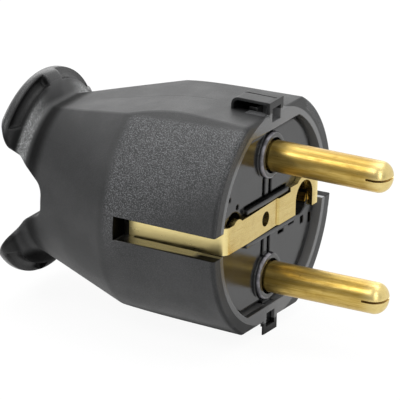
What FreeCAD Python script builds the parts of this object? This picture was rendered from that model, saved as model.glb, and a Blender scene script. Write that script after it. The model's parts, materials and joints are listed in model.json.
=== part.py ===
"""Rewireable earthed mains plug with pull ears, in millimetres.

The origin is the centre of the cover's front rim. +X runs out along the pins, +Z from the lower pin to
the upper pin, and the two side earth contacts lie on -Y and +Y. Depths are measured back from the rim.
"""
import FreeCAD, Part
import math
import os

Vector = FreeCAD.Vector
X_AXIS = Vector(1, 0, 0)
Y_AXIS = Vector(0, 1, 0)
Z_AXIS = Vector(0, 0, 1)
ORIGIN = Vector(0, 0, 0)

# Pins
pin_spacing = 19.0
pin_diameter = 4.8
pin_reach = 19.3
pin_tip_round = 1.9
tip_slit_width = 0.35
tip_slit_depth = 3.0
pin_neck_diameter = 4.4
pin_neck_gap = 0.25
pin_shoulder_diameter = 7.0
shank_depth = 7.0

# Screw terminals behind the pins and the earth sleeve
terminal_diameter = 5.2
terminal_length = 8.5
wire_hole_diameter = 2.9
wire_hole_depth = 4.6
wire_plate_thickness = 0.4
wire_plate_width = 1.6
wire_plate_length = 3.2
plate_height = 0.5

# Cover: a drafted barrel, a sloping grip and a neck, with a flat above and below
barrel_radius = 18.4
barrel_length = 20.0
draft_angle = 2.2
shoulder_round = 3.0
neck_depth = 33.2
neck_drop = 5.4
neck_round = 1.0
flat_drop = 2.1
flat_crown_depth = 14.4
flat_crown_round = 40.0
flat_slope_angle = 12.6
flat_edge_round = 1.2
cover_wall = 2.7
flat_wall = 2.4
rim_round = 0.4

# Ears: a round flange behind the neck, cut through from side to side by a saddle
ear_drop = 2.75
ear_root_gap = 1.8
ear_root_radius = 9.0
ear_flank = 3.0
ear_lip = 2.6
ear_front_round = 1.8
ear_back_round = 1.1
saddle_lead = 0.85
saddle_half_gap = 2.1
saddle_bottom_round = 2.2
saddle_knee_length = 3.85
saddle_knee_rise = 2.1
saddle_knee_round = 3.0
saddle_slope_angle = 55.5
saddle_edge_round = 0.4
ear_groove_lead = 0.1
ear_groove_sink = 0.65
ear_groove_radius = 1.0
ear_groove_low = 9.8
ear_land_half_width = 1.8

# Guide ribs: a hollow one on the upper flat, open on the near side, and a thin lip on the lower flat
rib_half_width = 2.13
rib_rise = 1.9
rib_length = 6.5
rib_end_round = 1.2
rib_roof = 0.45
rib_front_wall = 0.45
rib_back_wall = 0.35
rib_line_offset = 0.6
rib_line_width = 0.25
rib_line_depth = 0.2
lower_lip = 0.6
lower_lip_edge = 0.25
latch_half_width = 1.3
latch_window_drop = 1.3
latch_window_roof = 1.05
latch_length = 5.8
latch_lip = 2.8

# Side slots that show the earth contacts
earth_slot_height = 3.6
earth_slot_length = 17.4

# Chamber and cable entry
chamber_step = 0.9
rear_wall = 2.3
cable_bore_radius = 4.2
grommet_wall = 1.4
grommet_flange_width = 1.9
grommet_flange_thickness = 1.2
grommet_length = 5.3

# Pin carrier: the block that fills the mouth of the cover
carrier_recess = 1.0
carrier_length = 11.0
carrier_gap = 0.15
flat_gap = 0.45
bore_gap = 0.05
collar_radius = 3.6
collar_height = 0.8
collar_round = 0.35
collar_groove_radius = 2.75
collar_groove_depth = 1.6
carrier_edge_round = 0.7
face_slot_width = 0.85
face_slot_offsets = (-1.45, 0.5)
face_slot_depth = 1.5
face_slot_end = 6.2
fence_groove_width = 0.4
fence_groove_depth = 1.5
lobe_pocket_depth = 2.6
pocket_depth = 1.2
vent_radius = 0.4
hook_half_width = 1.0
hook_rise = 0.5
hook_flat = 1.2
tongue_thickness = 0.7
tongue_gap = 0.05
tongue_near_side = -0.5
tongue_far_side = 1.9
tongue_reach = 0.45
tongue_root = 0.2

# Small pockets in the carrier's face as (low y, high y, low z, high z), and vent holes as (y, z)
face_pockets = [
    (6.8, 8.5, -3.75, -2.95),
    (3.5, 5.3, -4.15, -3.65),
    (10.6, 11.5, -4.6, -3.5),
    (13.1, 14.0, -5.2, -3.6),
]
vent_holes = [(-12.1, 5.8), (-9.6, 4.0)]

# Earth strap
strap_width = 4.2
strap_thickness = 0.9
strap_half_span = 14.5
strap_leg_length = 16.4
strap_hook_length = 1.9
strap_corner_round = 1.2
strap_far_round = 0.3
strap_front = 0.15
strap_dip = 0.45
strap_dip_start = -7.0
strap_dip_end = 1.9
strap_channel_gap = 0.2
strap_fence_width = 0.65
strap_fence_front = 0.35
strap_fence_half_length = 7.6
strap_screw_hole_diameter = 2.3
strap_screw_offset = -1.8
strap_lobe_offset = -10.8
strap_lobe_radius = 1.7
strap_lobe_height = 0.9
strap_lobe_gap = 0.9

# Earth sleeve, on the axis of a socket's earth pin
earth_pin_offset = 10.0
earth_pin_diameter = 4.8
earth_window_radius = 2.65
earth_arch_width = 0.85
earth_shoulder_height = 2.75
earth_shoulder_length = 4.4
sleeve_clearance = 0.05
sleeve_wall = 0.5
sleeve_recess = 0.1
sleeve_lower_recess = 2.0
sleeve_lip_low = -1.5
sleeve_bore_depth = 9.3
sleeve_slit_width = 0.5
sleeve_slit_depth = 6.5

# Contact retainer and cord clamp
tail_half_width = 8.2
tail_thickness = 2.0
tail_top = -4.4
cradle_length = 5.0
cradle_grommet_gap = 0.65
clamp_height = 4.4
clamp_gap = 0.6
clamp_screw_offset = 6.3
clamp_screw_floor = 1.0

# Slotted screws
screw_diameter = 3.0
screw_head_diameter = 5.0
screw_head_height = 1.8
screw_slot_width = 0.7
screw_slot_depth = 0.8
head_stand_off = 0.4

# Sizes that follow from those above
draft = math.tan(math.radians(draft_angle))
neck_radius = barrel_radius - neck_drop
flat_height = barrel_radius - flat_drop
ear_radius = barrel_radius - ear_drop
rib_height = flat_height + rib_rise
latch_window_low = flat_height - latch_window_drop
latch_window_high = rib_height - latch_window_roof
hook_top = flat_height + hook_rise
ear_root_depth = neck_depth + ear_root_gap
ear_front_depth = ear_root_depth + ear_flank
ear_back_depth = ear_front_depth + ear_lip
ear_groove_depth = ear_front_depth - ear_groove_lead
saddle_depth = neck_depth - saddle_lead
span = 3 * barrel_radius
grip_taper = (barrel_radius - barrel_length * draft - neck_radius) / (neck_depth - barrel_length)
body_end = (ear_front_depth + ear_back_depth) / 2
cavity_radius = barrel_radius - cover_wall
cavity_flat = flat_height - flat_wall
carrier_back = carrier_recess + carrier_length
retainer_back = strap_leg_length - strap_thickness
terminal_end = carrier_back + terminal_length
terminal_radius = terminal_diameter / 2
terminal_screw_depth = terminal_end - wire_hole_depth / 2
pin_height = pin_spacing / 2
pin_radius = pin_diameter / 2
pin_neck_radius = pin_neck_diameter / 2
pin_neck_front = carrier_recess - collar_height - pin_neck_gap
shoulder_radius = pin_shoulder_diameter / 2
screw_radius = screw_diameter / 2
centre_screw_radius = strap_screw_hole_diameter / 2
sleeve_bore_radius = earth_pin_diameter / 2 + sleeve_clearance
sleeve_radius = sleeve_bore_radius + sleeve_wall
strap_back = strap_front + strap_thickness
sleeve_front = strap_back + sleeve_recess
chamber_back = saddle_depth - rear_wall
grommet_radius = cable_bore_radius + grommet_wall
grommet_front = chamber_back - grommet_flange_thickness
cradle_end_depth = grommet_front - cradle_grommet_gap
clamp_middle = cradle_end_depth - cradle_length / 2
clamp_screw_tip = Vector(-clamp_middle, -clamp_screw_offset, tail_top - tail_thickness + clamp_screw_floor)
earth_axis = Vector(0, earth_pin_offset, 0)
screw_axis = Vector(0, strap_screw_offset, 0)
line_axis = Vector(0, 0, pin_height)
neutral_axis = Vector(0, 0, -pin_height)


# Shape helpers

def box(x_range, y_range, z_range):
    """A block between two corners, each range a (low, high) pair."""
    size = [high - low for low, high in (x_range, y_range, z_range)]
    return Part.makeBox(*size, Vector(x_range[0], y_range[0], z_range[0]))


def rod(radius, start, end):
    """A round rod from one point to another."""
    direction = end.sub(start)
    return Part.makeCylinder(radius, direction.Length, start, direction)


def axial_rod(radius, axis, front, back):
    """A rod along the plug's axis between two depths behind the rim."""
    return rod(radius, axis + Vector(-front, 0, 0), axis + Vector(-back, 0, 0))


def rounded_wire(corners):
    """A closed wire through (point, corner radius) pairs. Radius 0 keeps the corner sharp."""
    arcs = {}
    ends = []
    count = len(corners)
    for index, (point, radius) in enumerate(corners):
        if radius == 0:
            ends.append((point, point))
            continue
        before = (corners[index - 1][0] - point).normalize()
        after = (corners[(index + 1) % count][0] - point).normalize()
        half_angle = before.getAngle(after) / 2
        reach = radius / math.tan(half_angle)
        bisector = (before + after).normalize()
        middle = point + bisector * (radius / math.sin(half_angle) - radius)
        start = point + before * reach
        end = point + after * reach
        arcs[index] = Part.Arc(start, middle, end).toShape()
        ends.append((start, end))
    chain = []
    for index in range(count):
        if index in arcs:
            chain.append(arcs[index])
        start = ends[index][1]
        end = ends[(index + 1) % count][0]
        if start.distanceToPoint(end) > 1e-6:
            chain.append(Part.LineSegment(start, end).toShape())
    return Part.Wire(chain)


def prism(corners, direction):
    """A closed rounded outline, extruded along a direction."""
    return Part.Face(rounded_wire(corners)).extrude(direction)


def turned(corners):
    """A body of revolution about the plug's axis from (depth, radius, corner radius) triples."""
    outline = [(Vector(-depth, 0, radius), round_) for depth, radius, round_ in corners]
    return Part.Face(rounded_wire(outline)).revolve(ORIGIN, X_AXIS, 360)


def side_prism(upper):
    """A side outline given above the axis as (depth, height, corner radius), mirrored below, through Y."""
    above = [(Vector(-depth, -span, height), round_) for depth, height, round_ in upper]
    below = [(Vector(-depth, -span, -height), round_) for depth, height, round_ in reversed(upper)]
    return prism(above + below, Vector(0, 2 * span, 0))


def above_and_below(shape):
    """A shape and its mirror image below the axis."""
    return [shape, shape.mirror(ORIGIN, Z_AXIS)]


def near_and_far(shape):
    """A shape and its mirror image on the other side."""
    return [shape, shape.mirror(ORIGIN, Y_AXIS)]


def middle_of(edge):
    """The point half way along an edge."""
    return edge.valueAt((edge.FirstParameter + edge.LastParameter) / 2)


def shared_edges(shape, first, second):
    """The edges of a shape that lie on the skins of both solids it came from."""
    skins = [Part.makeCompound(solid.Shells) for solid in (first, second)]
    found = []
    for edge in shape.Edges:
        point = Part.Vertex(middle_of(edge))
        if all(skin.distToShape(point)[0] < 1e-4 for skin in skins):
            found.append(edge)
    return found


def fused(shapes):
    """One solid from several that meet."""
    return shapes[0].multiFuse(shapes[1:]).removeSplitter()


def slotted_screw(radius, length, tip, direction):
    """A cheese-head screw from its tip: the shank, the head and the driver slot."""
    head_radius = screw_head_diameter / 2
    shank = Part.makeCylinder(radius, length, tip, direction)
    head_base = tip + direction * length
    head = Part.makeCylinder(head_radius, screw_head_height, head_base, direction)
    slot = Part.makeBox(2 * head_radius + 1, screw_slot_width, screw_slot_depth)
    slot.translate(Vector(-head_radius - 0.5, -screw_slot_width / 2, screw_head_height - screw_slot_depth))
    slot.Placement = FreeCAD.Placement(head_base, FreeCAD.Rotation(Z_AXIS, direction)) * slot.Placement
    return shank.fuse(head).cut(slot)


# Grip cover

def flat_outline(inset, front, back):
    """The side outline of a flat: level at first, then bending down over the crown."""
    slope = math.radians(flat_slope_angle)
    corner = flat_crown_depth - inset * math.tan(slope / 2)
    height = flat_height - inset
    return [
        (front, height, 0),
        (corner, height, flat_crown_round - inset),
        (back, height - (back - corner) * math.tan(slope), 0),
    ]


def cover_body():
    """Barrel, sloping grip and neck, with the two flats and their soft edges."""
    round_body = turned([
        (0, 0, 0),
        (0, barrel_radius, 0),
        (barrel_length, barrel_radius - barrel_length * draft, shoulder_round),
        (body_end, neck_radius - (body_end - neck_depth) * grip_taper, 0),
        (body_end, 0, 0),
    ])
    flats = side_prism(flat_outline(0, -1, body_end + 1))
    body = round_body.common(flats)
    flat_edges = [edge for edge in shared_edges(body, round_body, flats) if middle_of(edge).x < -0.1]
    body = body.makeFillet(flat_edge_round, flat_edges)
    rim_edges = [edge for edge in body.Edges if abs(middle_of(edge).x) < 1e-6]
    return body.makeFillet(rim_round, rim_edges)


def ear_flange():
    """The round flange that becomes the two ears."""
    return turned([
        (ear_root_depth, 0, 0),
        (ear_root_depth, ear_root_radius, 0),
        (ear_front_depth, ear_radius, ear_front_round),
        (ear_back_depth, ear_radius, ear_back_round),
        (ear_back_depth, 0, 0),
    ])


def saddle_space():
    """The space that the saddle takes away between the ears, from side to side."""
    knee_depth = saddle_depth + saddle_knee_length
    knee_height = saddle_half_gap + saddle_knee_rise
    rise = (span - knee_depth) * math.tan(math.radians(saddle_slope_angle))
    return side_prism([
        (saddle_depth, saddle_half_gap, saddle_bottom_round),
        (knee_depth, knee_height, saddle_knee_round),
        (span, knee_height + rise, 0),
    ])


def ear_grooves():
    """Four finger grooves in the ears' fronts, leaving a plain land in the middle of each ear and a lip below."""
    centre = Vector(-ear_groove_depth, 0, 0)
    ring = Part.makeTorus(ear_radius - ear_groove_sink, ear_groove_radius, centre, X_AXIS)
    near_side = box((-span, 0), (-span, -ear_land_half_width), (ear_groove_low, span))
    return [tool for side in near_and_far(ring.common(near_side)) for tool in above_and_below(side)]


def cover_outside():
    """The closed outer form: body, ears and saddle."""
    body = cover_body()
    flange = ear_flange()
    whole = fused([body, flange])
    whole = whole.makeFillet(neck_round, shared_edges(whole, body, flange))
    saddle = saddle_space()
    cut = whole.cut(saddle)
    cut = cut.makeFillet(saddle_edge_round, shared_edges(cut, whole, saddle))
    return cut.cut(ear_grooves())


def guide_ribs():
    """The hollow rib on the upper flat, rounded at the back, and the thin lip on the lower flat."""
    width = (-rib_half_width, rib_half_width)
    rib = box((-rib_length, 0), width, (cavity_flat + 1, rib_height))
    back_edges = [edge for edge in rib.Edges if middle_of(edge).x < -rib_length + 0.1]
    top_edges = [edge for edge in back_edges if middle_of(edge).z > rib_height - 0.1]
    lip_plan = [
        (0, -rib_half_width, 0),
        (0, rib_half_width, 0),
        (-lower_lip, rib_half_width, 0),
        (-lower_lip, -latch_half_width, 0),
        (-lower_lip_edge, -rib_half_width, 0),
    ]
    lip = flat_prism(lip_plan, rib_height).common(box((-span, span), (-span, span), (-span, -cavity_flat - 1)))
    return [rib.makeFillet(rib_end_round, top_edges), lip]


def latch_spaces():
    """The hollow of the upper rib and the lower lip's window, each with its way in from the mouth."""
    width = (-latch_half_width, latch_half_width)
    window = box((-latch_length, 1), width, (latch_window_low, latch_window_high))
    way_in = box((-latch_length, -latch_lip), width, (cavity_flat - 1, latch_window_high))
    hollow_back = -rib_length + rib_back_wall
    hollow_top = rib_height - rib_roof
    hollow = box((hollow_back, -rib_front_wall), (-span, latch_half_width), (flat_height, hollow_top))
    back_edges = [edge for edge in hollow.Edges if middle_of(edge).x < hollow_back + 0.1]
    corner = [edge for edge in back_edges if middle_of(edge).z > hollow_top - 0.1]
    hollow = hollow.makeFillet(rib_end_round - rib_back_wall, corner)
    line_side = (rib_line_offset, rib_line_offset + rib_line_width)
    line_length = (hollow_back + rib_end_round / 3, -rib_front_wall)
    rib_line = box(line_length, line_side, (rib_height - rib_line_depth, span))
    lower_window = box((-lower_lip, 1), width, (-latch_window_high, -latch_window_low))
    tongue_width = (tongue_near_side - tongue_gap, tongue_far_side + tongue_gap)
    lower_way_in = box((-latch_length, -lower_lip), tongue_width, (-span, -cavity_flat + 1))
    return [window, way_in, hollow, rib_line, lower_window, lower_way_in]


def mouth_block(front, back, gap, flat_inset):
    """A drafted round block with two flats that fits the mouth of the cover, less a gap."""
    radius = cavity_radius - gap
    block = turned([
        (front, 0, 0),
        (front, radius - front * draft, 0),
        (back, radius - back * draft, 0),
        (back, 0, 0),
    ])
    height = cavity_flat - flat_inset
    return block.common(box((-span, span), (-span, span), (-height, height)))


def cover_hollow():
    """The mouth, the wiring chamber behind it and the cable bore."""
    mouth = mouth_block(-1, retainer_back, 0, 0)
    chamber_radius = cavity_radius - retainer_back * draft - chamber_step
    grip_start = barrel_radius - barrel_length * draft
    chamber_end = grip_start - (chamber_back - barrel_length) * grip_taper - cover_wall
    chamber = turned([
        (retainer_back - 1, 0, 0),
        (retainer_back - 1, chamber_radius, 0),
        (barrel_length, chamber_radius, 0),
        (chamber_back, chamber_end, 0),
        (chamber_back, 0, 0),
    ]).common(side_prism(flat_outline(flat_wall, 0, chamber_back + 1)))
    cable_bore = axial_rod(grommet_radius, ORIGIN, chamber_back - 1, span)
    return [mouth, chamber, cable_bore]


def earth_slots():
    """The side slots, and behind them the room for the strap's hooked ends."""
    half_height = earth_slot_height / 2
    slot = box((-earth_slot_length, 1), (-span, -strap_half_span + 1), (-half_height, half_height))
    half_width = strap_width / 2 + strap_channel_gap
    outer = strap_half_span + bore_gap
    hook_room = box((-earth_slot_length, -retainer_back + 1), (-outer, 0), (-half_width, half_width))
    return near_and_far(slot) + near_and_far(hook_room)


def grip_cover():
    """The one-piece moulded cover."""
    outside = fused([cover_outside()] + guide_ribs())
    return outside.cut(cover_hollow() + latch_spaces() + earth_slots())


# Earth strap

def strap_path():
    """The strap's outer line seen along Z, from near hook to far hook, as (x, y, round) triples."""
    end = -strap_leg_length
    reach = strap_half_span - strap_hook_length
    return [
        (end, -reach, 0),
        (end, -strap_half_span, 0),
        (-strap_front, -strap_half_span, strap_corner_round),
        (-strap_front, strap_dip_start, 0),
        (-strap_dip, strap_dip_end, 0),
        (-strap_front, strap_dip_end + strap_dip - strap_front, 0),
        (-strap_front, strap_half_span, strap_far_round),
        (end, strap_half_span, 0),
        (end, reach, 0),
    ]


def inset_path(path, inset):
    """The same line moved inwards, with its corners mitred and its rounds made smaller."""
    points = [Vector(x, y, 0) for x, y, round_ in path]
    steps = [(after - before).normalize() for before, after in zip(points, points[1:])]
    normals = [Vector(-step.y, step.x, 0) for step in steps]
    moved = []
    for index, point in enumerate(points):
        before = normals[max(index - 1, 0)]
        after = normals[min(index, len(normals) - 1)]
        mitre = (before + after) * (inset / (1 + before.dot(after)))
        moved.append((point.x + mitre.x, point.y + mitre.y, max(path[index][2] - inset, 0)))
    return moved


def flat_prism(path, half_height):
    """An outline in X and Y, extruded both ways along Z."""
    corners = [(Vector(x, y, -half_height), round_) for x, y, round_ in path]
    return prism(corners, Vector(0, 0, 2 * half_height))


def strap_channel():
    """The room in carrier and retainer for the strap, open to the front and the sides."""
    floor = inset_path(strap_path()[1:-1], strap_thickness)
    floor[0] = (-span, floor[0][1], 0)
    floor[-1] = (-span, floor[-1][1], 0)
    frame = [(-span, span, 0), (2, span, 0), (2, -span, 0), (-span, -span, 0)]
    return flat_prism(floor + frame, strap_width / 2 + strap_channel_gap)


def earth_arch(gap, front, back):
    """The widened part of the strap about the earth pin window: a square shoulder and an arch on it."""
    near_end = earth_pin_offset - earth_shoulder_length - gap
    sides = (near_end, strap_half_span - strap_far_round + gap)
    shoulder = box((-back, -front), sides, (0, earth_shoulder_height + gap))
    arch = axial_rod(earth_window_radius + earth_arch_width + gap, earth_axis, front, back)
    return [shoulder, arch.common(box((-span, span), (-span, span), (0, span)))]


def earth_strap():
    """The bent brass strip with its screw hole, side lobe and arched earth pin window."""
    path = strap_path()
    strip = flat_prism(path + inset_path(path, strap_thickness)[::-1], strap_width / 2)
    lobe_centre = Vector(0, strap_lobe_offset, strap_lobe_height)
    lobe = axial_rod(strap_lobe_radius, lobe_centre, strap_front, strap_back)
    window = axial_rod(earth_window_radius, earth_axis, 0, strap_back + 1)
    low_side = (earth_pin_offset - earth_window_radius, earth_pin_offset + earth_window_radius)
    open_bottom = box((-strap_back - 1, 0), low_side, (-span, 0))
    screw_hole = axial_rod(centre_screw_radius, screw_axis, 0, strap_leg_length / 2)
    return fused([strip, lobe] + earth_arch(0, strap_front, strap_back)).cut([window, open_bottom, screw_hole])


# Pins and earth sleeve

def terminal_holes(axis, screw_side):
    """The wire hole and the cross hole for the clamping screw in one terminal."""
    wire_hole = axial_rod(wire_hole_diameter / 2, axis, terminal_end - wire_hole_depth, terminal_end + 1)
    centre = axis + Vector(-terminal_screw_depth, 0, 0)
    return [wire_hole, rod(screw_radius, centre, centre + screw_side * (terminal_radius + 1))]


def contact_pin(axis):
    """A turned pin: slit tip, neck inside the carrier, shoulder and screw terminal."""
    pin = turned([
        (-pin_reach, 0, 0),
        (-pin_reach, pin_radius, pin_tip_round),
        (pin_neck_front, pin_radius, 0),
        (pin_neck_front, pin_neck_radius, 0),
        (shank_depth, pin_neck_radius, 0),
        (shank_depth, shoulder_radius, 0),
        (carrier_back, shoulder_radius, 0),
        (carrier_back, terminal_radius, 0),
        (terminal_end, terminal_radius, 0),
        (terminal_end, 0, 0),
    ])
    pin.translate(axis)
    half_slit = tip_slit_width / 2
    slit = box((pin_reach - tip_slit_depth, span), (-span, span), (axis.z - half_slit, axis.z + half_slit))
    return pin.cut([slit] + terminal_holes(axis, -Y_AXIS))


def earth_sleeve():
    """The slit brass socket for an earth pin, with its own screw terminal."""
    sleeve = axial_rod(sleeve_radius, earth_axis, sleeve_front, carrier_back)
    terminal = axial_rod(terminal_radius, earth_axis, carrier_back, terminal_end)
    bore = axial_rod(sleeve_bore_radius, earth_axis, 0, sleeve_front + sleeve_bore_depth)
    half_slit = sleeve_slit_width / 2
    slit = box((-sleeve_front - sleeve_slit_depth, 0), (-span, span), (-half_slit, half_slit))
    cut_back = box((-sleeve_front - sleeve_lower_recess, 0), (-span, span), (-span, sleeve_lip_low))
    return fused([sleeve, terminal]).cut([bore, slit, cut_back] + terminal_holes(earth_axis, Z_AXIS))


def wire_plate(axis, screw_side):
    """The small plate that lies between the clamping screw and the wire."""
    centre = axis + Vector(-terminal_screw_depth, 0, 0)
    plate = Part.makeBox(wire_plate_length, wire_plate_width, wire_plate_thickness)
    plate.translate(Vector(-wire_plate_length / 2, -wire_plate_width / 2, plate_height))
    plate.Placement = FreeCAD.Placement(centre, FreeCAD.Rotation(Z_AXIS, screw_side)) * plate.Placement
    return plate


def terminal_screw(axis, screw_side):
    """The clamping screw of one terminal, its tip on the wire plate."""
    centre = axis + Vector(-terminal_screw_depth, 0, 0)
    tip = centre + screw_side * (plate_height + wire_plate_thickness)
    length = terminal_radius + head_stand_off - plate_height - wire_plate_thickness
    return slotted_screw(screw_radius, length, tip, screw_side)


# Carrier, retainer and clamp

def snap_hook():
    """The upper hook of the carrier, which snaps into the rib: upright in front, ramped behind."""
    base = cavity_flat - flat_gap - 1
    ramp_end = latch_length - flat_gap
    profile = [(latch_lip, base), (latch_lip, hook_top), (latch_lip + hook_flat, hook_top), (ramp_end, base)]
    corners = [(Vector(-depth, -hook_half_width, height), 0) for depth, height in profile]
    return prism(corners, Vector(0, 2 * hook_half_width, 0))


def snap_tongue():
    """The lower tongue of the carrier, which stands behind the window of the lower lip."""
    width = (tongue_near_side, tongue_far_side)
    front = lower_lip + tongue_gap
    tip = -latch_window_high - tongue_reach
    back = front + tongue_thickness
    foot = box((-back - 1, -back + tongue_root), width, (-flat_height, -cavity_flat + flat_gap + 1))
    tongue = box((-back, -front), width, (tip, -cavity_flat))
    return fused([foot, tongue])


def collar(axis):
    """The raised round collar about a pin."""
    disc = axial_rod(collar_radius, axis, carrier_recess - collar_height, carrier_recess + 1)
    front = [edge for edge in disc.Edges if edge.Closed and middle_of(edge).x > -carrier_recess + collar_round]
    return disc.makeFillet(collar_round, front)


def collar_grooves():
    """The round grooves between the pins and their collars."""
    back = carrier_recess - collar_height + collar_groove_depth
    return [axial_rod(collar_groove_radius, axis, 0, back) for axis in (line_axis, neutral_axis)]


def strap_fences():
    """The upper and lower raised edge of the strap channel."""
    low = strap_width / 2 + strap_channel_gap
    length = (-strap_fence_half_length, strap_fence_half_length)
    fence = box((-carrier_recess - 1, -strap_fence_front), length, (low - 1, low + strap_fence_width))
    return above_and_below(fence)


def face_slots():
    """The pairs of narrow slots between collars and strap channel, and the groove along the upper fence."""
    low = strap_width / 2 + strap_channel_gap + strap_fence_width
    slots = []
    for offset in face_slot_offsets:
        sides = (offset - face_slot_width / 2, offset + face_slot_width / 2)
        slots += above_and_below(box((-carrier_recess - face_slot_depth, 0), sides, (low, face_slot_end)))
    length = (-strap_fence_half_length, earth_pin_offset - earth_shoulder_length)
    groove = box((-carrier_recess - fence_groove_depth, 0), length, (low, low + fence_groove_width))
    return slots + [groove]


def small_pockets():
    """The small pockets and vent holes in the face."""
    back = carrier_recess + pocket_depth
    pockets = [box((-back, 0), (near, far), (low, high)) for near, far, low, high in face_pockets]
    return pockets + [axial_rod(vent_radius, Vector(0, side, height), 0, back) for side, height in vent_holes]


def carrier_bores():
    """The bores for both pins and their shoulders, the earth sleeve and the centre screw."""
    bores = [axial_rod(sleeve_radius, earth_axis, 0, carrier_back + 1)]
    bores.append(axial_rod(centre_screw_radius, screw_axis, 0, carrier_back + 1))
    for axis in (line_axis, neutral_axis):
        bores.append(axial_rod(pin_neck_radius, axis, 0, carrier_back))
        bores.append(axial_rod(shoulder_radius, axis, shank_depth, carrier_back + 1))
    return bores


def pin_carrier():
    """The moulded block that fills the mouth."""
    block = mouth_block(carrier_recess, carrier_back, carrier_gap, flat_gap)
    front_edges = [edge for edge in block.Edges if abs(middle_of(edge).x + carrier_recess) < 1e-6]
    block = block.makeFillet(carrier_edge_round, front_edges)
    raised = [collar(line_axis), collar(neutral_axis), snap_hook(), snap_tongue()] + strap_fences()
    lobe_centre = Vector(0, strap_lobe_offset, strap_lobe_height)
    lobe_pocket = axial_rod(strap_lobe_radius + strap_lobe_gap, lobe_centre, 0, carrier_recess + lobe_pocket_depth)
    strap_room = [strap_channel(), lobe_pocket] + earth_arch(strap_channel_gap, 0, strap_back)
    face_cuts = collar_grooves() + face_slots() + small_pockets()
    return fused([block] + raised).cut(strap_room + carrier_bores() + face_cuts)


def contact_retainer():
    """The plate behind the carrier, with its tail and the lower half of the cable seat."""
    plate = mouth_block(carrier_back, retainer_back, carrier_gap, flat_gap)
    width = (-tail_half_width, tail_half_width)
    tail = box((-cradle_end_depth, -carrier_back), width, (tail_top - tail_thickness, tail_top))
    cradle_front = cradle_end_depth - cradle_length
    cradle = box((-cradle_end_depth, -cradle_front), width, (tail_top - tail_thickness, -clamp_gap / 2))
    cable_seat = axial_rod(cable_bore_radius, ORIGIN, cradle_front - 1, cradle_end_depth + 1)
    holes = [axial_rod(terminal_radius, axis, 0, terminal_end) for axis in (line_axis, neutral_axis, earth_axis)]
    holes.append(axial_rod(centre_screw_radius, screw_axis, 0, retainer_back + 1))
    clamp_holes = near_and_far(rod(screw_radius, clamp_screw_tip, clamp_screw_tip + Z_AXIS * span))
    return fused([plate, tail, cradle]).cut([strap_channel(), cable_seat] + holes + clamp_holes)


def cord_clamp():
    """The upper half of the cable seat."""
    width = (-tail_half_width, tail_half_width)
    depth = (-cradle_end_depth, -cradle_end_depth + cradle_length)
    bridge = box(depth, width, (clamp_gap / 2, clamp_height))
    cable_seat = axial_rod(cable_bore_radius, ORIGIN, cradle_end_depth - cradle_length - 1, cradle_end_depth + 1)
    clamp_holes = near_and_far(rod(screw_radius, clamp_screw_tip, clamp_screw_tip + Z_AXIS * span))
    return bridge.cut([cable_seat] + clamp_holes)


def cord_clamp_screws():
    """The two clamp screws."""
    screw = slotted_screw(screw_radius, clamp_height - clamp_screw_tip.z, clamp_screw_tip, Z_AXIS)
    return Part.makeCompound(near_and_far(screw))


def centre_screw():
    """The screw from the retainer through the carrier into the strap."""
    tip_depth = strap_dip + 3 * strap_thickness / 4
    tip = screw_axis + Vector(-tip_depth, 0, 0)
    return slotted_screw(centre_screw_radius, retainer_back - tip_depth, tip, -X_AXIS)


def cable_grommet():
    """The soft bush that lines the cable entry, with a flange inside the chamber."""
    tube = axial_rod(grommet_radius, ORIGIN, grommet_front, grommet_front + grommet_length)
    flange = axial_rod(grommet_radius + grommet_flange_width, ORIGIN, grommet_front, chamber_back)
    bore = axial_rod(cable_bore_radius, ORIGIN, 0, span)
    return fused([tube, flange]).cut(bore)


def build():
    """Write every piece as its own file."""
    os.makedirs("parts", exist_ok=True)
    nodes = {
        "grip_cover": grip_cover(),
        "pin_carrier": pin_carrier(),
        "contact_retainer": contact_retainer(),
        "line_pin": contact_pin(line_axis),
        "neutral_pin": contact_pin(neutral_axis),
        "earth_strap": earth_strap(),
        "earth_sleeve": earth_sleeve(),
        "line_wire_plate": wire_plate(line_axis, -Y_AXIS),
        "neutral_wire_plate": wire_plate(neutral_axis, -Y_AXIS),
        "earth_wire_plate": wire_plate(earth_axis, Z_AXIS),
        "line_terminal_screw": terminal_screw(line_axis, -Y_AXIS),
        "neutral_terminal_screw": terminal_screw(neutral_axis, -Y_AXIS),
        "earth_terminal_screw": terminal_screw(earth_axis, Z_AXIS),
        "centre_screw": centre_screw(),
        "cord_clamp": cord_clamp(),
        "cord_clamp_screws": cord_clamp_screws(),
        "cable_grommet": cable_grommet(),
    }
    for name, shape in nodes.items():
        shape.exportStep("parts/%s.step" % name)
        print(name, len(shape.Solids), round(shape.Volume, 1), shape.isValid())


build()
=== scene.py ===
"""Looks of the earthed plug: moulded grain, drawn brass, plated screws, studio light and the camera."""
import bpy
import json
from mathutils import Matrix, Vector
from types import SimpleNamespace


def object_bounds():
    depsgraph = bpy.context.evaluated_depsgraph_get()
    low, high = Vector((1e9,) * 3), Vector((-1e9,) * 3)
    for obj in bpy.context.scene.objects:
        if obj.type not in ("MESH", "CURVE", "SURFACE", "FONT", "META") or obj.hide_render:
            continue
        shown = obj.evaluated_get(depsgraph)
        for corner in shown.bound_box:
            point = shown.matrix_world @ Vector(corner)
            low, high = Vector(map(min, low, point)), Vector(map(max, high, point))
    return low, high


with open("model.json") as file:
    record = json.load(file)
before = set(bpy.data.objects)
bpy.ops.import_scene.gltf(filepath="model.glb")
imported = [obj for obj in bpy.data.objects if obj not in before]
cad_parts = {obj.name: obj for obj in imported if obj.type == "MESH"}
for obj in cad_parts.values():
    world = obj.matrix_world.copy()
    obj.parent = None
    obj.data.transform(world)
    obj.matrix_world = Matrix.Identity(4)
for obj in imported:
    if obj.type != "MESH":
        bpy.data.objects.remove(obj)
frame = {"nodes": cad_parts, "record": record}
cad_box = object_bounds()
nodes = frame["nodes"]

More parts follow.
